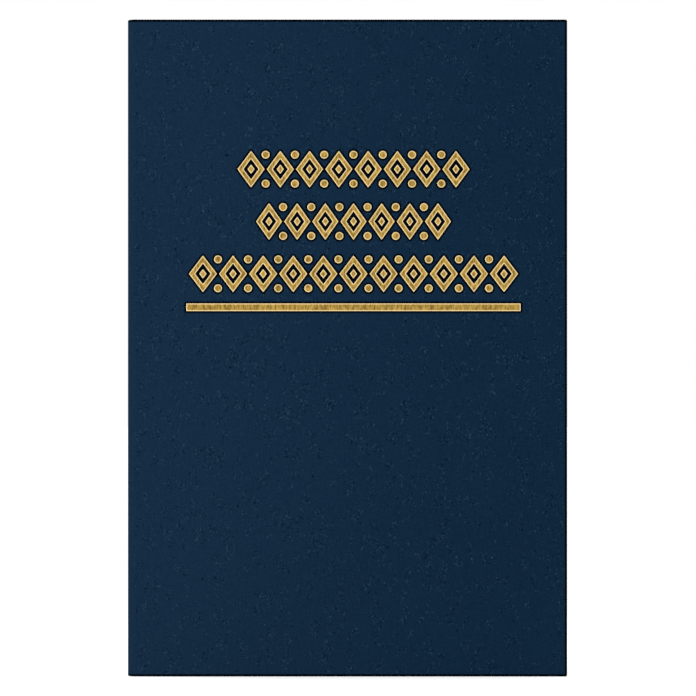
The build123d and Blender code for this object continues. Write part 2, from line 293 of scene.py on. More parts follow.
MARGIN = 11 * MM
text_left, text_right = board_lo.x + MARGIN + 3 * MM, leaf_end_x - MARGIN
text_foot, text_head = low + MARGIN, high - MARGIN
HEADER = 17 * MM
THIN, THICK = 0.24 * MM, 0.5 * MM
LOG_ROW = 6.8 * MM
LOG_COLUMNS = (0.11, 0.22, 0.33, 0.44, 0.56, 0.68)  # shares of the table's width
NOTES_ROW = 8 * MM
TITLE_FRAME = 0.9 * MM  # the outer line
TITLE_INNER, TITLE_INSET = 0.3 * MM, 2.2 * MM  # the inner line
LOZENGE_WIDE, LOZENGE_TALL = 7 * MM, 10 * MM  # halves of the title leaf's lozenge
LOZENGE_RISE = 22 * MM  # above the middle of the page


def frame_lines(m, across, up, inset, width):
    """Outline of the printed area, this far inside it."""
    x_in = between(m, across, text_left + inset - width / 2, text_right - inset + width / 2)
    z_in = between(m, up, text_foot + inset - width / 2, text_head - inset + width / 2)
    sides = near(m, across, (text_left + inset, text_right - inset), width)
    ends = near(m, up, (text_foot + inset, text_head - inset), width)
    return m.math(
        "MAXIMUM", m.math("MULTIPLY", sides, z_in), m.math("MULTIPLY", ends, x_in)
    )


def log_layout(m, across, up):
    """A log table: a tinted header, rows, and columns of several widths."""
    width = text_right - text_left
    x_in = between(m, across, text_left, text_right)
    rows = m.math("MULTIPLY", every(m, up, text_foot, LOG_ROW, THIN), x_in)
    rows = m.math("MULTIPLY", rows, between(m, up, text_foot, text_head - HEADER))
    columns = near(m, across, [text_left + share * width for share in LOG_COLUMNS], THIN)
    columns = m.math("MULTIPLY", columns, between(m, up, text_foot, text_head))
    head = m.math("MULTIPLY", near(m, up, (text_head - HEADER,), THICK), x_in)
    lines = m.math("MAXIMUM", m.math("MAXIMUM", rows, columns), head)
    lines = m.math("MAXIMUM", lines, frame_lines(m, across, up, 0.0, THICK))
    tint = m.math("MULTIPLY", between(m, up, text_head - HEADER, text_head), x_in)
    return lines, tint


def notes_layout(m, across, up):
    """Plain ruled lines under a heading line."""
    x_in = between(m, across, text_left, text_right)
    rows = m.math("MULTIPLY", every(m, up, text_foot, NOTES_ROW, THIN), x_in)
    rows = m.math("MULTIPLY", rows, between(m, up, text_foot - THIN, text_head - HEADER))
    head = m.math("MULTIPLY", near(m, up, (text_head - HEADER,), THICK), x_in)
    return m.math("MAXIMUM", rows, head), 0.0


def title_layout(m, across, up):
    """A double frame round one small pierced lozenge."""
    outer = frame_lines(m, across, up, 0.0, TITLE_FRAME)
    inner = frame_lines(m, across, up, TITLE_INSET, TITLE_INNER)
    middle_x, middle_z = (text_left + text_right) / 2, (text_foot + text_head) / 2 + LOZENGE_RISE
    x_off = m.math("ABSOLUTE", m.math("SUBTRACT", across, middle_x))
    z_off = m.math("ABSOLUTE", m.math("SUBTRACT", up, middle_z))
    x_share = m.math("DIVIDE", x_off, LOZENGE_WIDE)
    reach = m.math("ADD", x_share, m.math("DIVIDE", z_off, LOZENGE_TALL))
    mark = m.math("MAXIMUM", between(m, reach, 0.6, 1.0), m.math("LESS_THAN", reach, 0.28))
    lines = m.math("MAXIMUM", m.math("MAXIMUM", outer, inner), mark)
    return lines, 0.0


def endpaper():
    """Heavier plain paper."""
    m, colour = paper_nodes("endpaper", (0.71, 0.685, 0.62), (0.67, 0.64, 0.57))
    m.feed("Base Color", colour)
    return m.made


def grey_board():
    """Grey board with coarse mixed fibres."""
    m = Material("grey_board", Roughness=0.9, Specular_IOR_Level=0.2)
    fibre = m.noise((0.7 * MM, 0.7 * MM, 1.5 * MM), 5.0, 0.7)
    m.feed("Base Color", m.mix(m.ramp(fibre, 0.3, 0.7), (0.2, 0.19, 0.17), (0.36, 0.34, 0.31)))
    m.bump(fibre, 0.06 * MM, 0.6)
    return m.made


def kraft_paper():
    """Brown lining paper with long fibres."""
    m = Material("kraft_paper", Roughness=0.85, Specular_IOR_Level=0.25)
    fibre = m.noise((0.4 * MM, 0.4 * MM, 2.4 * MM), 4.0, 0.7)
    m.feed("Base Color", m.mix(m.ramp(fibre, 0.3, 0.7), (0.24, 0.145, 0.07), (0.4, 0.26, 0.14)))
    m.bump(fibre, 0.03 * MM, 0.5)
    return m.made


def mull_gauze():
    """Open cotton gauze, glued down."""
    m = Material("mull_gauze", Roughness=0.9, Specular_IOR_Level=0.15)
    pitch = 0.9 * MM
    place = m.add("SeparateXYZ", Vector=m.add("TexCoord").outputs["Object"])
    threads = m.math(
        "MAXIMUM",
        every(m, place.outputs[2], 0.0, pitch, 0.35 * MM),
        every(m, m.math("ADD", place.outputs[0], place.outputs[1]), 0.0, pitch, 0.35 * MM),
    )
    fibre = m.noise((0.3 * MM,) * 3, 3.0, 0.6)
    ground = m.mix(m.ramp(fibre, 0.3, 0.7), (0.42, 0.38, 0.29), (0.52, 0.48, 0.38))
    m.feed("Base Color", m.mix(threads, ground, (0.76, 0.73, 0.64)))
    m.bump(threads, 0.05 * MM, 0.7)
    return m.made


def thread_linen():
    """Waxed linen thread."""
    m = Material("linen_thread", Roughness=0.6, Specular_IOR_Level=0.35)
    twist = m.noise((0.2 * MM, 0.2 * MM, 0.6 * MM), 3.0, 0.6)
    m.feed("Base Color", m.mix(m.ramp(twist, 0.3, 0.7), (0.6, 0.56, 0.46), (0.84, 0.81, 0.72)))
    m.bump(twist, 0.04 * MM, 0.6)
    return m.made


def band_cotton():
    """Headband cotton, in stripes of cream and navy that follow the windings."""
    m = Material("headband_cotton", Roughness=0.55, Specular_IOR_Level=0.35, Sheen_Weight=0.2)
    fibre = m.noise((0.12 * MM, 0.12 * MM, 0.5 * MM), 3.0, 0.6)
    pale = m.mix(m.ramp(fibre, 0.3, 0.7), (0.68, 0.64, 0.53), (0.83, 0.8, 0.71))
    navy = m.mix(m.ramp(fibre, 0.3, 0.7), (0.008, 0.022, 0.06), (0.02, 0.045, 0.1))
    m.feed("Base Color", m.mix(m.attribute("stripe"), pale, navy))
    m.bump(fibre, 0.03 * MM, 0.5)
    return m.made


def studio_white():
    """Plain pale floor with the faintest grain."""
    m = Material("studio_floor", Roughness=0.8, Specular_IOR_Level=0.2)
    grain = m.noise((0.05, 0.05, 0.05), 2.0)
    m.feed("Base Color", m.mix(m.ramp(grain, 0.3, 0.7), (0.6, 0.6, 0.6), (0.62, 0.62, 0.62)))
    m.shader.inputs["Emission Color"].default_value = (1, 1, 1, 1)
    m.shader.inputs["Emission Strength"].default_value = 0.48
    return m.made


CLOTH = book_cloth()
FOIL = gold_foil()
LOG_PAGE = page("log_page", log_layout)
NOTES_PAGE = page("notes_page", notes_layout)
TITLE_PAGE = page("title_page", title_layout)
ENDPAPER = endpaper()
BOARD = grey_board()
KRAFT = kraft_paper()
MULL = mull_gauze()
THREAD = thread_linen()
COTTON = band_cotton()

# ---------------------------------------------------------------- mesh helpers

MERGE_DISTANCE = 1e-7


class Builder:
    """Gathers the points and faces of one piece, with numbers painted on its points."""

    def __init__(self):
        self.points = []
        self.faces = []
        self.paint = []

    def point(self, place, *values):
        """Adds a point and returns its number."""
        self.points.append(place)
        self.paint.append(values)
        return len(self.points) - 1

    def loop(self, places, *values):
        """Adds a row of points."""
        return [self.point(place, *values) for place in places]

    def bridge(self, first, second, closed=True):
        """Quads between two rows of the same length."""
        count = len(first)
        for i in range(count if closed else count - 1):
            j = (i + 1) % count
            self.faces.append((first[i], first[j], second[j], second[i]))

    def fill(self, ring):
        """One flat face."""
        self.faces.append(tuple(ring))

    def build(self, name, surface, names, crease=None):
        """Makes the object, with outward normals and named attributes. With a crease angle in
        degrees it merges its points and keeps steeper edges sharp."""
        mesh = bpy.data.meshes.new(name)
        mesh.from_pydata([tuple(p) for p in self.points], [], self.faces)
        for index, attribute_name in enumerate(names):
            layer = mesh.attributes.new(attribute_name, "FLOAT", "POINT")
            layer.data.foreach_set("value", [values[index] for values in self.paint])
        work = bmesh.new()
        work.from_mesh(mesh)
        if crease:
            bmesh.ops.remove_doubles(work, verts=work.verts, dist=MERGE_DISTANCE)
        bmesh.ops.recalc_face_normals(work, faces=work.faces)
        for f in work.faces:
            f.smooth = True
        if crease:
            for edge in work.edges:
                steep = edge.calc_face_angle(0) > math.radians(crease)
                edge.smooth = len(edge.link_faces) == 2 and not steep
        work.to_mesh(mesh)
        work.free()
        mesh.materials.append(surface)
        made = bpy.data.objects.new(name, mesh)
        bpy.context.scene.collection.objects.link(made)
        return made


def weigh_normals(piece):
    """Keeps broad flat faces flat where they meet small curved ones."""
    weighted = piece.modifiers.new("weighted", "WEIGHTED_NORMAL")
    weighted.keep_sharp = True
    return piece


def settle(piece, body, slot, *nodes):
    """The piece rides on a body and stands for these nodes."""
    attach(piece, body)
    if nodes:
        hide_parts(*nodes)
    return piece


def corner_arc(previous, corner, following, radius, steps):
    """Points of the arc that rounds a corner between its two neighbours."""
    here = Vector(corner)
    before = (Vector(previous) - here).normalized()
    after = (Vector(following) - here).normalized()
    half = before.angle(after) / 2
    centre = here + (before + after).normalized() * (radius / math.sin(half))
    start = here + before * (radius / math.tan(half)) - centre
    end = here + after * (radius / math.tan(half)) - centre
    shares = [step / steps for step in range(steps + 1)]
    return [centre + (start * (1 - t) + end * t).normalized() * radius for t in shares]


def rounded(corners, radius):
    """Closed outline with each corner turned into an arc."""
    points = []
    for i, corner in enumerate(corners):
        following = corners[(i + 1) % len(corners)]
        points += corner_arc(corners[i - 1], corner, following, radius, 4)
    return points


def bezier(a, b, c, steps):
    """Points of a quadratic curve, without its last."""
    a, b, c = Vector(a), Vector(b), Vector(c)
    shares = [i / steps for i in range(steps)]
    return [a * (1 - t) ** 2 + b * 2 * t * (1 - t) + c * t * t for t in shares]


def spread(start, end, steps):
    """Points along a straight run, without its first."""
    start, end = Vector(start), Vector(end)
    return [start.lerp(end, (i + 1) / steps) for i in range(steps)]


def normals_of(path):
    """Left-hand normal at each point of an open path."""
    made = []
    for i in range(len(path)):
        along = (path[min(i + 1, len(path) - 1)] - path[max(i - 1, 0)]).normalized()
        made.append(Vector((-along.y, along.x)))
    return made


def add_sheet(builder, path, thickness, levels, tone=0.0):
    """Closed sheet of even thickness along a path, between the first and last level.
    A level is a height and how far the sheet is drawn in there on both faces."""
    sides = normals_of(path)
    rows = []
    for z, inset in levels:
        half = thickness / 2 - inset
        left = [(p.x + n.x * half, p.y + n.y * half, z) for p, n in zip(path, sides)]
        right = [(p.x - n.x * half, p.y - n.y * half, z) for p, n in zip(path, sides)]
        rows.append((left, right))
    for side in (0, 1):
        previous = None
        for left_right in rows:
            ring = builder.loop(left_right[side], tone, 1.0)
            if previous:
                builder.bridge(previous, ring, closed=False)
            previous = ring
    for left, right in (rows[0], rows[-1]):
        builder.bridge(builder.loop(left, tone, 0.0), builder.loop(right, tone, 0.0), closed=False)
    for end in (0, -1):
        first = builder.loop([row[0][end] for row in rows], tone, 0.0)
        second = builder.loop([row[1][end] for row in rows], tone, 0.0)
        builder.bridge(first, second, closed=False)


def finish_sheet(builder, name, surface):
    """Makes a paper piece. Its edges stay separate from its faces, so that they shade crisply.
    Its page map holds the rest place of each point across and up the page."""
    made = builder.build(name, surface, ("tone", "face"))
    layer = made.data.uv_layers.new(name="page")
    for corner in made.data.loops:
        place = made.data.vertices[corner.vertex_index].co
        layer.data[corner.index].uv = (place.x, place.z)
    return made


# ---------------------------------------------------------------- camera and light

FRAME_PIXELS = 696
BOOK_SHARE = 657 / FRAME_PIXELS  # the book's height, as a share of the frame's
CAMERA_SHIFT = 0.19 * MM  # to the right of the book's middle
LONG_LENS = 1000  # so long that the view is almost parallel
camera_data = bpy.data.cameras.new("camera")
camera_data.lens = LONG_LENS
distance = height / BOOK_SHARE * camera_data.lens / camera_data.sensor_width
camera = bpy.data.objects.new("camera", camera_data)
camera.location = (CAMERA_SHIFT, -face - distance, height / 2)
camera.rotation_euler = (math.pi / 2, 0, 0)
bpy.context.scene.collection.objects.link(camera)
bpy.context.scene.camera = camera
bpy.context.scene.view_settings.view_transform = "Standard"

world = bpy.data.worlds.new("studio")
world.use_nodes = True
world.node_tree.nodes["Background"].inputs["Color"].default_value = (1, 1, 1, 1)
world.node_tree.nodes["Background"].inputs["Strength"].default_value = 1.0
bpy.context.scene.world = world


def softbox(name, place, target, size, watts):
    """A square soft light that faces a point."""
    light = bpy.data.lights.new(name, "AREA")
    light.size = size
    light.energy = watts
    made = bpy.data.objects.new(name, light)
    made.location = place
    made.visible_camera = False
    made.rotation_euler = (Vector(target) - Vector(place)).to_track_quat("-Z", "Y").to_euler()
    bpy.context.scene.collection.objects.link(made)


middle = (0, 0, height / 2)
softbox("key_left", (-0.5, -0.5, 0.14), middle, 0.3, 1.6)
softbox("fill_right", (0.9, -0.9, 0.35), middle, 0.8, 2)
softbox("back_left", (-0.8, 0.9, 0.6), middle, 0.7, 5)

FLOOR_HALF = 20.0
FLOOR_DROP = 0.02 * MM  # keeps the floor clear of the tail of the covers
floor_mesh = bpy.data.meshes.new("floor")
floor_mesh.from_pydata(
    [(sx * FLOOR_HALF, sy * FLOOR_HALF, 0) for sx, sy in ((-1, -1), (1, -1), (1, 1), (-1, 1))],
    [],
    [(0, 1, 2, 3)],
)
floor_mesh.materials.append(studio_white())
floor = bpy.data.objects.new("floor", floor_mesh)
floor.location.z = -FLOOR_DROP
bpy.context.scene.collection.objects.link(floor)

# ---------------------------------------------------------------- blocking on the front cover

# Shapes of the blocking are functions of an offset, which give as many points at any offset.
LOZENGE_GAP = 0.7 * MM
LOZENGE_HOLE = 0.56
LOZENGE_HEART = 0.26
BEAD_RADIUS = 1.3 * MM
ROW_COUNTS = (8, 7, 11)
DIE_CORNER = 0.14 * MM
LEAST_CORNER = 0.02 * MM
PAINTED_SHADE_CORE, PAINTED_SHADE_REACH = 0.62 * MM, 0.95 * MM  # painted shade round the foil and along the edges: full within the core, none past the reach
HALO_STEP = 0.9 * MM
HALO_CLEAR = 0.02 * MM
NEAR_BY = 1 * MM  # marks further off than this can't darken a point
# how the cloth sinks towards the foil's edge, and how the foil lies in it: offset, depth in mm
CLOTH_RIM = [(0.33, 0.0), (0.26, 0.01), (0.17, 0.035), (0.09, 0.075), (0.03, 0.11), (0.0, 0.12)]
FOIL_RIM = [(0.0, 0.105), (0.05, 0.088), (0.14, 0.076), (0.3, 0.074), (0.45, 0.08)]
FOIL_FLOOR = 0.12  # mm
PAINTED_HIGHLIGHT_WIDTH = 0.3  # mm; the width of the painted highlight at the foil's rim
FOIL_CREASE = 75


def lozenge_shape(x, z, half_width, half_height):
    """Lozenge at a place, as a function of its offset."""

    def at(offset):
        side = half_width * half_height / math.hypot(half_width, half_height)
        scale = 1 + offset / side
        w, h = half_width * scale, half_height * scale
        corners = [(x - w, z), (x, z - h), (x + w, z), (x, z + h)]
        return rounded(corners, max(DIE_CORNER + offset, LEAST_CORNER))

    return at


def disc_shape(x, z, radius, count=28):
    """Disc at a place, as a function of its offset."""

    def at(offset):
        turns = [2 * math.pi * i / count for i in range(count)]
        r = radius + offset
        return [Vector((x + r * math.cos(t), z + r * math.sin(t))) for t in turns]

    return at


def bar_shape(x0, z0, x1, z1):
    """Bar between two corners, as a function of its offset."""

    def at(offset):
        a, b, c, d = x0 - offset, z0 - offset, x1 + offset, z1 + offset
        corners = [(a, b), (c, b), (c, d), (a, d)]
        return rounded(corners, max(DIE_CORNER + offset, LEAST_CORNER))

    return at


def row_shapes(node, count):
    """(outer shape, hole or None) of each mark in a row of the blocking."""
    row_lo, row_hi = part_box(node)
    z, half_height = (row_lo.z + row_hi.z) / 2, (row_hi.z - row_lo.z) / 2
    pitch = (row_hi.x - row_lo.x + LOZENGE_GAP) / count
    half_width = (pitch - LOZENGE_GAP) / 2
    made = []
    for i in range(count):
        x = row_lo.x + half_width + i * pitch
        hole = lozenge_shape(x, z, half_width * LOZENGE_HOLE, half_height * LOZENGE_HOLE)
        heart = lozenge_shape(x, z, half_width * LOZENGE_HEART, half_height * LOZENGE_HEART)
        made.append((lozenge_shape(x, z, half_width, half_height), hole))
        made.append((heart, None))
        if i:
            for rise in (-1, 1):
                bead_z = z + rise * (half_height - BEAD_RADIUS)
                made.append((disc_shape(x - pitch / 2, bead_z, BEAD_RADIUS), None))
    return made


rule_lo, rule_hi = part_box("foil_rule")
marks = {f"foil_row_{i + 1}": row_shapes(f"foil_row_{i + 1}", n) for i, n in enumerate(ROW_COUNTS)}
marks["foil_rule"] = [(bar_shape(rule_lo.x, rule_lo.z, rule_hi.x, rule_hi.z), None)]


def on_cover(outline, depth):
    """Points of an outline on the front cover, this deep under its face."""
    return [(p.x, depth - face, p.y) for p in outline]


def add_rings(builder, shape, rim, previous=None):
    """Rings of a shape, each bridged to the one before. Gives the last one.
    A rim is rows of an offset and a depth in mm, and the number painted there."""
    for offset, depth, value in rim:
        ring = builder.loop(on_cover(shape(offset * MM), depth * MM), value)
        if previous:
            builder.bridge(previous, ring)
        previous = ring
    return previous


def painted_highlight_share(inset):
    """How much painted highlight the foil gets this far inside its edge, in mm."""
    return min(1.0, max(0.0, (FOIL_RIM[-1][0] - inset) / PAINTED_HIGHLIGHT_WIDTH))


for node, shapes in marks.items():
    foil = Builder()
    for outer, hole in shapes:
        floor_ring = add_rings(foil, outer, [(0, FOIL_FLOOR, 1.0)])
        rim = [(-inset, depth, painted_highlight_share(inset)) for inset, depth in FOIL_RIM]
        top_ring = add_rings(foil, outer, rim, floor_ring)
        if hole is None:
            foil.fill(top_ring)
            foil.fill(floor_ring)
            continue
        rim = [(inset, depth, painted_highlight_share(inset)) for inset, depth in reversed(FOIL_RIM)]
        hole_ring = add_rings(foil, hole, rim + [(0, FOIL_FLOOR, 1.0)], top_ring)
        foil.bridge(hole_ring, floor_ring)
    piece = foil.build(node + "_stamped", FOIL, ("rim",), FOIL_CREASE)
    settle(weigh_normals(piece), "front_cover", "gold_foil", node)

# ---------------------------------------------------------------- covers

EDGE_ROUND = 0.6 * MM  # cloth over the outer edge of the board
INNER_ROUND = 0.35 * MM
CORNER_ROUND = 0.55 * MM
LEAST_ROUND = 0.25 * MM
ROUND_STEPS = 6
INSIDE_DARK = 0.35  # painted shade on the cloth turned in over the boards and on the inner side of the spine
CASE_CREASE = 50


def plate_outline(inset):
    """Outline of a cover from its joint to its fore-edge, drawn in on three sides."""
    right, foot, head = cover_hi.x - inset, inset, height - inset
    radius = max(CORNER_ROUND - inset, LEAST_ROUND)
    points = [Vector((plate_x, foot))]
    for centre_z, first in ((foot + radius, -math.pi / 2), (head - radius, 0)):
        for step in range(ROUND_STEPS + 1):
            turn = first + step / ROUND_STEPS * math.pi / 2
            x, z = right - radius + radius * math.cos(turn), centre_z + radius * math.sin(turn)
            points.append(Vector((x, z)))
    spine_side = (head, height - PAINTED_SHADE_REACH, PAINTED_SHADE_REACH)
    points += [Vector((plate_x, z)) for z in spine_side]
    return points


def darkening(distance):
    """How much painted shade the cloth gets at a distance from the foil or from an edge."""
    share = (PAINTED_SHADE_REACH - distance) / (PAINTED_SHADE_REACH - PAINTED_SHADE_CORE)
    return min(1.0, max(0.0, share))


def edge_darkening(point):
    """The same, for a point of a cover and its three free edges."""
    return darkening(min(cover_hi.x - point.x, point.y, height - point.y))


def add_face(builder, side, rim, shapes):
    """The cover's flat outer face, with the beds of any blocking stamped into it, and painted
    shade round them and along its edges.
    """
    outlines = [plate_outline(rim)]
    halos = [plate_outline(PAINTED_SHADE_CORE), plate_outline(PAINTED_SHADE_REACH)]
    top = CLOTH_RIM[0][0] * MM
    # full painted shade on the sunk beds of the blocking
    outward = [(offset, depth, darkening(offset * MM)) for offset, depth in CLOTH_RIM]
    inward = [(-offset, depth, dark) for offset, depth, dark in outward]
    for outer, hole in shapes:
        outlines.append(outer(top))
        halos.append(outer(PAINTED_SHADE_REACH))
        bed = add_rings(builder, outer, outward)
        if hole is None:
            builder.fill(bed)
            continue
        builder.bridge(bed, add_rings(builder, hole, inward))
        outlines.append(hole(-top))
    fill_flat(builder, side, outlines, halos, shapes)


def inside_of(point, outline):
    """Whether a point is inside a closed outline."""
    found = False
    for a, b in zip(outline, outline[1:] + outline[:1]):
        if (a.y > point.y) != (b.y > point.y):
            if point.x < (b.x - a.x) * (point.y - a.y) / (b.y - a.y) + a.x:
                found = not found
    return found


def boxed(outlines):
    """Each outline with its lowest and highest x and z."""
    return [
        (min(p.x for p in o), max(p.x for p in o), min(p.y for p in o), max(p.y for p in o), o)
        for o in outlines
    ]


def distance_to(point, outline):
    """Distance from a point to a closed outline."""
    best = math.inf
    for a, b in zip(outline, outline[1:] + outline[:1]):
        side = b - a
        share = min(1.0, max(0.0, (point - a).dot(side) / side.length_squared))
        best = min(best, (point - a - side * share).length)
    return best


def holders(point, boxes, margin=0.0):
    """How many outlines hold a point, or come this near to it."""
    count = 0
    for x0, x1, z0, z1, o in boxes:
        if x0 - margin < point.x < x1 + margin and z0 - margin < point.y < z1 + margin:
            count += inside_of(point, o) or (margin > 0 and distance_to(point, o) < margin)
    return count


def fill_flat(builder, side, outlines, halos, shapes):
    """Triangles between outlines: what an odd number of them hold is cloth.
    Halos add points only, where the painted shade round the blocking starts and stops."""
    points, edges = [], []
    for outline in outlines:
        start = len(points)
        points += [Vector((p.x, p.y)) for p in outline]
        edges += [(start + i, start + (i + 1) % len(outline)) for i in range(len(outline))]
    boxes = boxed(outlines)
    for halo in halos:
        for a, b in zip(halo, halo[1:] + halo[:1]):
            steps = max(1, round((b - a).length / HALO_STEP))
            for place in (a.lerp(b, i / steps) for i in range(steps)):
                beds = holders(place, boxes[1:], HALO_CLEAR)
                rim = distance_to(place, outlines[0])
                if beds == 0 and rim > HALO_CLEAR and inside_of(place, outlines[0]):
                    points.append(Vector((place.x, place.y)))
    places, _, triangles, *_ = delaunay_2d_cdt(points, edges, [], 1, 1e-9)
    stamped = boxed([outer(0) for outer, _ in shapes] + [hole(0) for _, hole in shapes if hole])
    ring = []
    for p in places:
        near_by = [
            distance_to(p, o)
            for x0, x1, z0, z1, o in stamped
            if x0 - NEAR_BY < p.x < x1 + NEAR_BY and z0 - NEAR_BY < p.y < z1 + NEAR_BY
        ]
        # painted shade along the cover's edges and round the foil
        dark = max(edge_darkening(p), darkening(min(near_by + [PAINTED_SHADE_REACH])))
        ring.append(builder.point((p.x, side * face, p.y), dark))
    for triangle in triangles:
        centre = sum((places[i] for i in triangle), Vector((0, 0))) / 3
        if holders(centre, boxes) % 2:
            builder.fill([ring[i] for i in triangle])


def cover_piece(name, side, shapes):
    """Cloth over one board: rounded edges, a face, a turned-in inside and the board's hollow."""
    cover = Builder()

    # painted shade: the rounded edges are darkened by their nearness to an edge, the inside by
    # INSIDE_DARK
    def ring_at(inset, out, dark=None):
        return [
            cover.point((p.x, side * out, p.y), edge_darkening(p) if dark is None else dark)
            for p in plate_outline(inset)
        ]

    previous = ring_at(EDGE_ROUND, face)
    for step in range(1, ROUND_STEPS + 1):
        turn = step / ROUND_STEPS * math.pi / 2
        inset, drop = EDGE_ROUND * (1 - math.sin(turn)), EDGE_ROUND * (1 - math.cos(turn))
        ring = ring_at(inset, face - drop)
        cover.bridge(previous, ring)
        previous = ring
    for step in range(ROUND_STEPS + 1):
        turn = step / ROUND_STEPS * math.pi / 2
        inset, rise = INNER_ROUND * (1 - math.cos(turn)), INNER_ROUND * (1 - math.sin(turn))
        ring = ring_at(inset, inside + rise, INSIDE_DARK)
        cover.bridge(previous, ring)
        previous = ring
    cover.fill(previous)
    add_face(cover, side, EDGE_ROUND, shapes)
    made = cover.build(name, CLOTH, ("painted_shade",), CASE_CREASE)
    return weigh_normals(made)


every_mark = [shape for shapes in marks.values() for shape in shapes]
front = cover_piece("front_cover_skin", -1, every_mark)
settle(front, "front_cover", "book_cloth", "front_cover_cloth")
back = cover_piece("back_cover_skin", 1, [])
settle(back, "back_cover", "book_cloth", "back_cover_cloth")

# ---------------------------------------------------------------- spine and joints

SPINE_EDGE = math.radians(21.6)
SPINE_STEPS = 28
HOLLOW_CLEARANCE = 0.1 * MM  # between the case and the lined back of the leaves
case_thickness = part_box("spine_lining")[0].x - spine_lo.x - HOLLOW_CLEARANCE
END_ROUND = 0.5 * MM
INNER_END_ROUND = 0.3 * MM
FOLD_ROUND = 0.02 * MM


def spine_profile():
    """Closed outline of the spine's cloth, as radius and height, folded over both ends."""
    outer, inner = spine_radius, spine_radius - case_thickness
    points = []
    corners = [
        (outer, 0, END_ROUND),
        (outer, height, END_ROUND),
        (inner, height, INNER_END_ROUND),
        (inner, height - TURN_IN, FOLD_ROUND),
        (inner + cloth, height - TURN_IN, FOLD_ROUND),
        (inner + cloth, height - cloth, FOLD_ROUND),
        (outer - cloth, height - cloth, FOLD_ROUND),
        (outer - cloth, cloth, FOLD_ROUND),
        (inner + cloth, cloth, FOLD_ROUND),
        (inner + cloth, TURN_IN, FOLD_ROUND),
        (inner, TURN_IN, FOLD_ROUND),
        (inner, 0, INNER_END_ROUND),
    ]
    count = len(corners)
    for i, (r, z, radius) in enumerate(corners):
        here = Vector((r, z))
        before = (Vector(corners[i - 1][:2]) - here).normalized()
        after = (Vector(corners[(i + 1) % count][:2]) - here).normalized()
        centre = here + (before + after) * radius
        steps = 5 if radius > FOLD_ROUND else 1
        for step in range(steps + 1):
            share = step / steps
            ray = (-after * radius) * (1 - share) + (-before * radius) * share
            points.append(centre + ray.normalized() * radius)
        if i == 0:
            # points where the painted shade at the foot and the head starts and stops
            stops = (PAINTED_SHADE_CORE, PAINTED_SHADE_REACH, height - PAINTED_SHADE_REACH, height - PAINTED_SHADE_CORE)
            points += [Vector((outer, z)) for z in stops]
    return points


spine = Builder()
profile = spine_profile()
previous = None
for step in range(SPINE_STEPS + 1):
    turn = -SPINE_EDGE + 2 * SPINE_EDGE * step / SPINE_STEPS
    ring = []
    for p in profile:
        place = (spine_x - p.x * math.cos(turn), p.x * math.sin(turn), p.y)
        outside = p.x > spine_radius - cloth
        # painted shade towards the foot and head of the spine, and on its inner side
        dark = darkening(min(p.y, height - p.y)) if outside else INSIDE_DARK
        ring.append(spine.point(place, dark))
    if previous:
        spine.bridge(previous, ring)
    else:
        spine.fill(ring)
    previous = ring
spine.fill(previous)
spine_piece = spine.build("spine_skin", CLOTH, ("painted_shade",), CASE_CREASE)
settle(weigh_normals(spine_piece), "text_block", "book_cloth", "spine_cloth")

JOINT_DIP = 0.1 * MM
JOINT_LEAD = math.radians(1.3)  # from the end of the spine's arc to the hinge edge
JOINT_LANDING = 0.6 * MM  # from the hinge edge to where the cloth lies flat
JOINT_CREASE = 60
LAYER_GAP = 0.005 * MM
TURNED_SHORT = 0.1 * MM  # the turned-in cloth stops this far from the leaves
# rounding of the cloth's ends, as height and inset, and where its painted shade starts and stops
SHEET_ROUND = [(0.0, 0.14 * MM), (0.05 * MM, 0.05 * MM), (0.15 * MM, 0.0)]
SHEET_ROUND += [(PAINTED_SHADE_CORE, 0.0), (PAINTED_SHADE_REACH, 0.0)]


def joint_path(side):
    """Middle of the cloth from the spine, over the hinge edge, to the cover."""
    points = []
    last = hinge_angle - JOINT_LEAD
    for step in range(5):
        turn = SPINE_EDGE + (last - SPINE_EDGE) * step / 5
        x, y = spine_x - hinge_radius * math.cos(turn), hinge_radius * math.sin(turn)
        points.append(Vector((x, y)))
    level = face - cloth / 2
    start = (spine_x - hinge_radius * math.cos(last), hinge_radius * math.sin(last))
    landing = hinge_x + JOINT_LANDING
    points += bezier(start, (hinge_x, hinge_y), (landing, level), 8)
    run = plate_x - landing
    for step in range(13):
        share = step / 12
        dip = JOINT_DIP * math.sin(math.pi * share) ** 2
        points.append(Vector((landing + run * share, level - dip)))
    return [Vector((p.x, side * p.y)) for p in points]


for side, cover in ((-1, "front"), (1, "back")):
    strip = Builder()
    tops = [(height - z, inset) for z, inset in reversed(SHEET_ROUND)]
    path = joint_path(side)
    add_sheet(strip, path, cloth, SHEET_ROUND + tops)
    turned = [p - n * side * (cloth + LAYER_GAP) for p, n in zip(path, normals_of(path))]
    add_sheet(strip, turned, cloth, SHEET_ROUND + [(low - TURNED_SHORT, 0)])
    add_sheet(strip, turned, cloth, [(high + TURNED_SHORT, 0)] + tops)
    # painted shade towards the foot and head of the joint cloth
    strip.paint = [(darkening(min(p[2], height - p[2])),) for p in strip.points]
    piece = strip.build(f"{cover}_joint_cloth", CLOTH, ("painted_shade",), JOINT_CREASE)
    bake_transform(piece)

# ---------------------------------------------------------------- leaves of the block

FOLD_BULGE = 0.22 * MM
FOOT_REACH = 1.4 * MM
LEAF_JITTER = 0.03 * MM
ROOT_INSET = 0.06 * MM
fore_edge_hollow = leaf_end_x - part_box("section_06")[1].x


def fore_edge_x(rise):
    """Where a leaf at this rise ends on the hollow fore-edge."""
    radius = (block**2 + fore_edge_hollow**2) / (2 * fore_edge_hollow)
    return leaf_end_x - math.sqrt(radius**2 - rise**2) + math.sqrt(radius**2 - block**2)


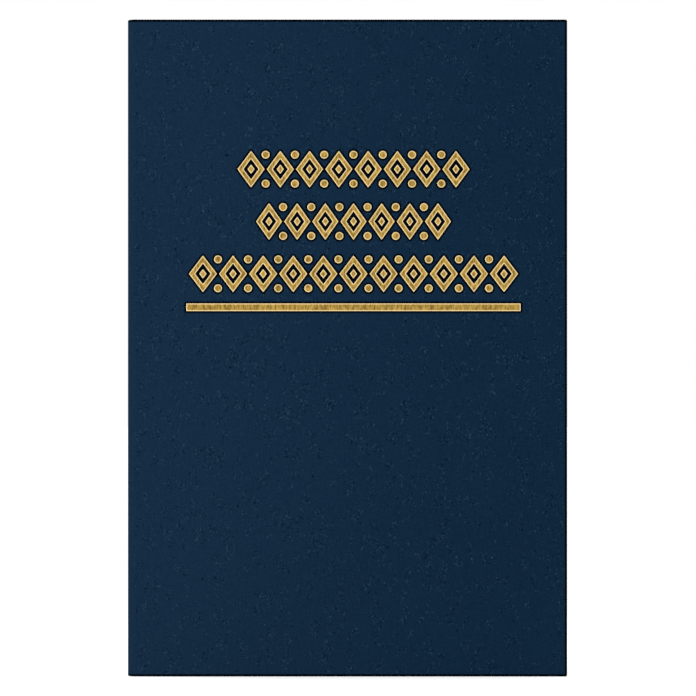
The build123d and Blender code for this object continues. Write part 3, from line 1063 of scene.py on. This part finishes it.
def leaf_path(rise, bulge, end_x):
    """Middle of a leaf, from the fold down the shoulder to the fore-edge."""
    root_rise = rise * root_spread
    root_x = spine_x - math.sqrt((fold_radius - ROOT_INSET - bulge) ** 2 - root_rise**2)
    path = bezier((root_x, root_rise), (foot_x, rise), (foot_x + FOOT_REACH, rise), 8)
    return path + spread((foot_x + FOOT_REACH, rise), (end_x, rise), 3)


loose_front = ["title_leaf", "log_leaf_1", "log_leaf_2", "log_leaf_3", "log_leaf_4"]
loose_back = ["notes_leaf_1", "notes_leaf_2", "notes_leaf_3"]

for number in range(SECTIONS):
    name = f"section_{number + 1:02d}"
    sheets = Builder()
    for leaf in range(LEAVES):
        place = number * LEAVES + leaf
        rise = (place + 0.5) * leaf_pitch - block
        off = (leaf - (LEAVES - 1) / 2) / (LEAVES / 2)
        end_x = fore_edge_x(min(abs(rise), block)) - random.uniform(0, 2 * LEAF_JITTER)
        from_front, from_back = place, SECTIONS * LEAVES - 1 - place
        if from_front < len(loose_front):
            end_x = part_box(loose_front[from_front])[0].x
        if from_back < len(loose_back):
            end_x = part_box(loose_back[from_back])[0].x
        foot, head = (random.uniform(0, LEAF_JITTER) for _ in range(2))
        levels = [(low + foot, 0), (high - head, 0)]
        tone = random.random()
        add_sheet(sheets, leaf_path(rise, FOLD_BULGE * off**2, end_x), paper, levels, tone)
    piece = finish_sheet(sheets, name + "_leaves", LOG_PAGE)
    settle(piece, "text_block", "leaf_paper", name)

# ---------------------------------------------------------------- leaves that turn, made as flat sheets at rest

BEND_LEAD, BEND_ZONE = 7 * MM, 10 * MM  # lengths before and past the fold; past it, a leaf's points lie close together
TURNING_TONE = 0.5  # the darkest tone of a leaf that turns


def turning_leaf(node, surface, path):
    """A leaf near a cover: one flat sheet along its path, in place of its CAD node."""
    sheet = Builder()
    add_sheet(sheet, path, paper, [(low, 0), (high, 0)], random.random() * TURNING_TONE)
    piece = finish_sheet(sheet, node + "_sheet", surface)
    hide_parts(node)
    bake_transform(piece)


for side, nodes in ((-1, loose_front), (1, loose_back)):
    for node in nodes:
        node_lo, node_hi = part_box(node)
        rise = (node_lo.y + node_hi.y) / 2
        surface = NOTES_PAGE if side > 0 else LOG_PAGE
        if node == "title_leaf":
            surface = TITLE_PAGE
        near_part = spread((node_lo.x, rise), (node_lo.x + BEND_ZONE, rise), 16)
        path = [Vector((node_lo.x, rise))] + near_part
        path += spread(near_part[-1], (node_hi.x, rise), 4)
        turning_leaf(node, surface, path)

# ---------------------------------------------------------------- endpapers

slope_ray = Vector((math.cos(SHOULDER_SLOPE), -math.sin(SHOULDER_SLOPE)))
slope_side = Vector((math.sin(SHOULDER_SLOPE), math.cos(SHOULDER_SLOPE)))
paste_lo, paste_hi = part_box("back_pastedown")
fly_lo, fly_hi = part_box("back_flyleaf")
endpaper_thickness = inside - paste_lo.y
joint_rise = inside - endpaper_thickness / 2
BEND_RADIUS = 0.6 * MM
PASTEDOWN_START, FLYLEAF_START = 0.34 * MM, 0.42 * MM  # down the shoulder's slope
PASTEDOWN_TONE, FLYLEAF_TONE = 0.1, 0.2
FLYLEAF_SHARE = 0.98  # of the paper's thickness, to stay clear of its neighbours


def endpaper_path(depth, start, end_x):
    """Middle of a sheet this deep under the line from the hinge edge, down and then flat."""
    origin = Vector((hinge_x, hinge_y)) - slope_side * depth
    run = (origin.y - joint_rise + depth) / math.sin(SHOULDER_SLOPE)
    corner = origin + slope_ray * run
    first, last = origin + slope_ray * start, Vector((end_x, joint_rise - depth))
    bend = corner_arc(first, corner, last, BEND_RADIUS, 6)
    return [first] + bend + spread(bend[-1], last, 12)


fly_depth = joint_rise - (fly_lo.y + endpaper_thickness / 2)
for side, cover in ((-1, "front"), (1, "back")):
    sheet = Builder()
    path = [Vector((p.x, side * p.y)) for p in endpaper_path(0, PASTEDOWN_START, paste_hi.x)]
    add_sheet(sheet, path, endpaper_thickness, [(low, 0), (high, 0)], PASTEDOWN_TONE)
    piece = finish_sheet(sheet, f"{cover}_pastedown_sheet", ENDPAPER)
    settle(piece, f"{cover}_cover", "endpaper", f"{cover}_pastedown")
    sheet = Builder()
    path = [Vector((p.x, side * p.y)) for p in endpaper_path(fly_depth, FLYLEAF_START, fly_hi.x)]
    thickness = endpaper_thickness * FLYLEAF_SHARE
    add_sheet(sheet, path, thickness, [(low, 0), (high, 0)], FLYLEAF_TONE)
    piece = finish_sheet(sheet, f"{cover}_flyleaf_sheet", ENDPAPER)
    settle(piece, f"{cover}_flyleaf", "endpaper", f"{cover}_flyleaf")

# ---------------------------------------------------------------- headbands

WINDINGS = 34
WINDING_STEPS = 4
BAND_ROUND = 0.56 * MM
BAND_DEPTH = 0.35 * MM  # the middle of the bead, in from the folds of the leaves
BAND_EDGE = math.radians(20.5)
BAND_SIDES = 12
BAND_RIDGE = 0.12  # of the bead's radius
BAND_CREASE = 60
TAPE, TAPE_THICKNESS = 12 * MM, 0.14 * MM
TAPE_STEPS = 16
TAPE_DEPTH = 0.075 * MM  # the middle of the tape, in from the back of the mull
band_middle = fold_radius - BAND_DEPTH
tape_radius = spine_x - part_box("spine_mull")[0].x - TAPE_DEPTH


def band(name, end, up):
    """Bead of wound thread over the folds, with the tape that holds it to the back."""
    bead = Builder()
    previous = None
    total = WINDINGS * WINDING_STEPS
    for step in range(total + 1):
        turn = -BAND_EDGE + 2 * BAND_EDGE * step / total
        ridge = 0.5 - 0.5 * math.cos(2 * math.pi * step / WINDING_STEPS)
        radius = BAND_ROUND * (1 - BAND_RIDGE + BAND_RIDGE * ridge)
        stripe = 1.0 if (step // WINDING_STEPS) % 4 < 2 else 0.0
        places = []
        for i in range(BAND_SIDES):
            lean = 2 * math.pi * i / BAND_SIDES
            r = band_middle + radius * math.cos(lean)
            z = end + up * (BAND_ROUND + radius * math.sin(lean))
            places.append((spine_x - r * math.cos(turn), r * math.sin(turn), z))
        ring = bead.loop(places, stripe)
        if previous:
            bead.bridge(previous, ring)
        else:
            bead.fill(ring)
        previous = ring
    bead.fill(previous)
    turns = [-BAND_EDGE + 2 * BAND_EDGE * i / TAPE_STEPS for i in range(TAPE_STEPS + 1)]
    tape = [
        Vector((spine_x - tape_radius * math.cos(t), tape_radius * math.sin(t))) for t in turns
    ]
    levels = sorted([(end - up * TAPE, 0), (end, 0)])
    before = len(bead.paint)
    add_sheet(bead, tape, TAPE_THICKNESS, levels)
    bead.paint = bead.paint[:before] + [(0.0,) for _ in bead.paint[before:]]
    piece = bead.build(name + "_wound", COTTON, ("stripe",), BAND_CREASE)
    settle(piece, "text_block", "headband_cotton", name)


band("headband", high, 1)
band("tailband", low, -1)

# ---------------------------------------------------------------- CAD nodes that show as they are

for node, surface in {
    "front_board": BOARD,
    "back_board": BOARD,
    "spine_inlay": BOARD,
    "spine_lining": KRAFT,
    "spine_mull": MULL,
    "front_mull_flap": MULL,
    "back_mull_flap": MULL,
    "sewing_threads": THREAD,
}.items():
    shown = frame["nodes"][node]
    shown.data.materials.clear()
    shown.data.materials.append(surface)
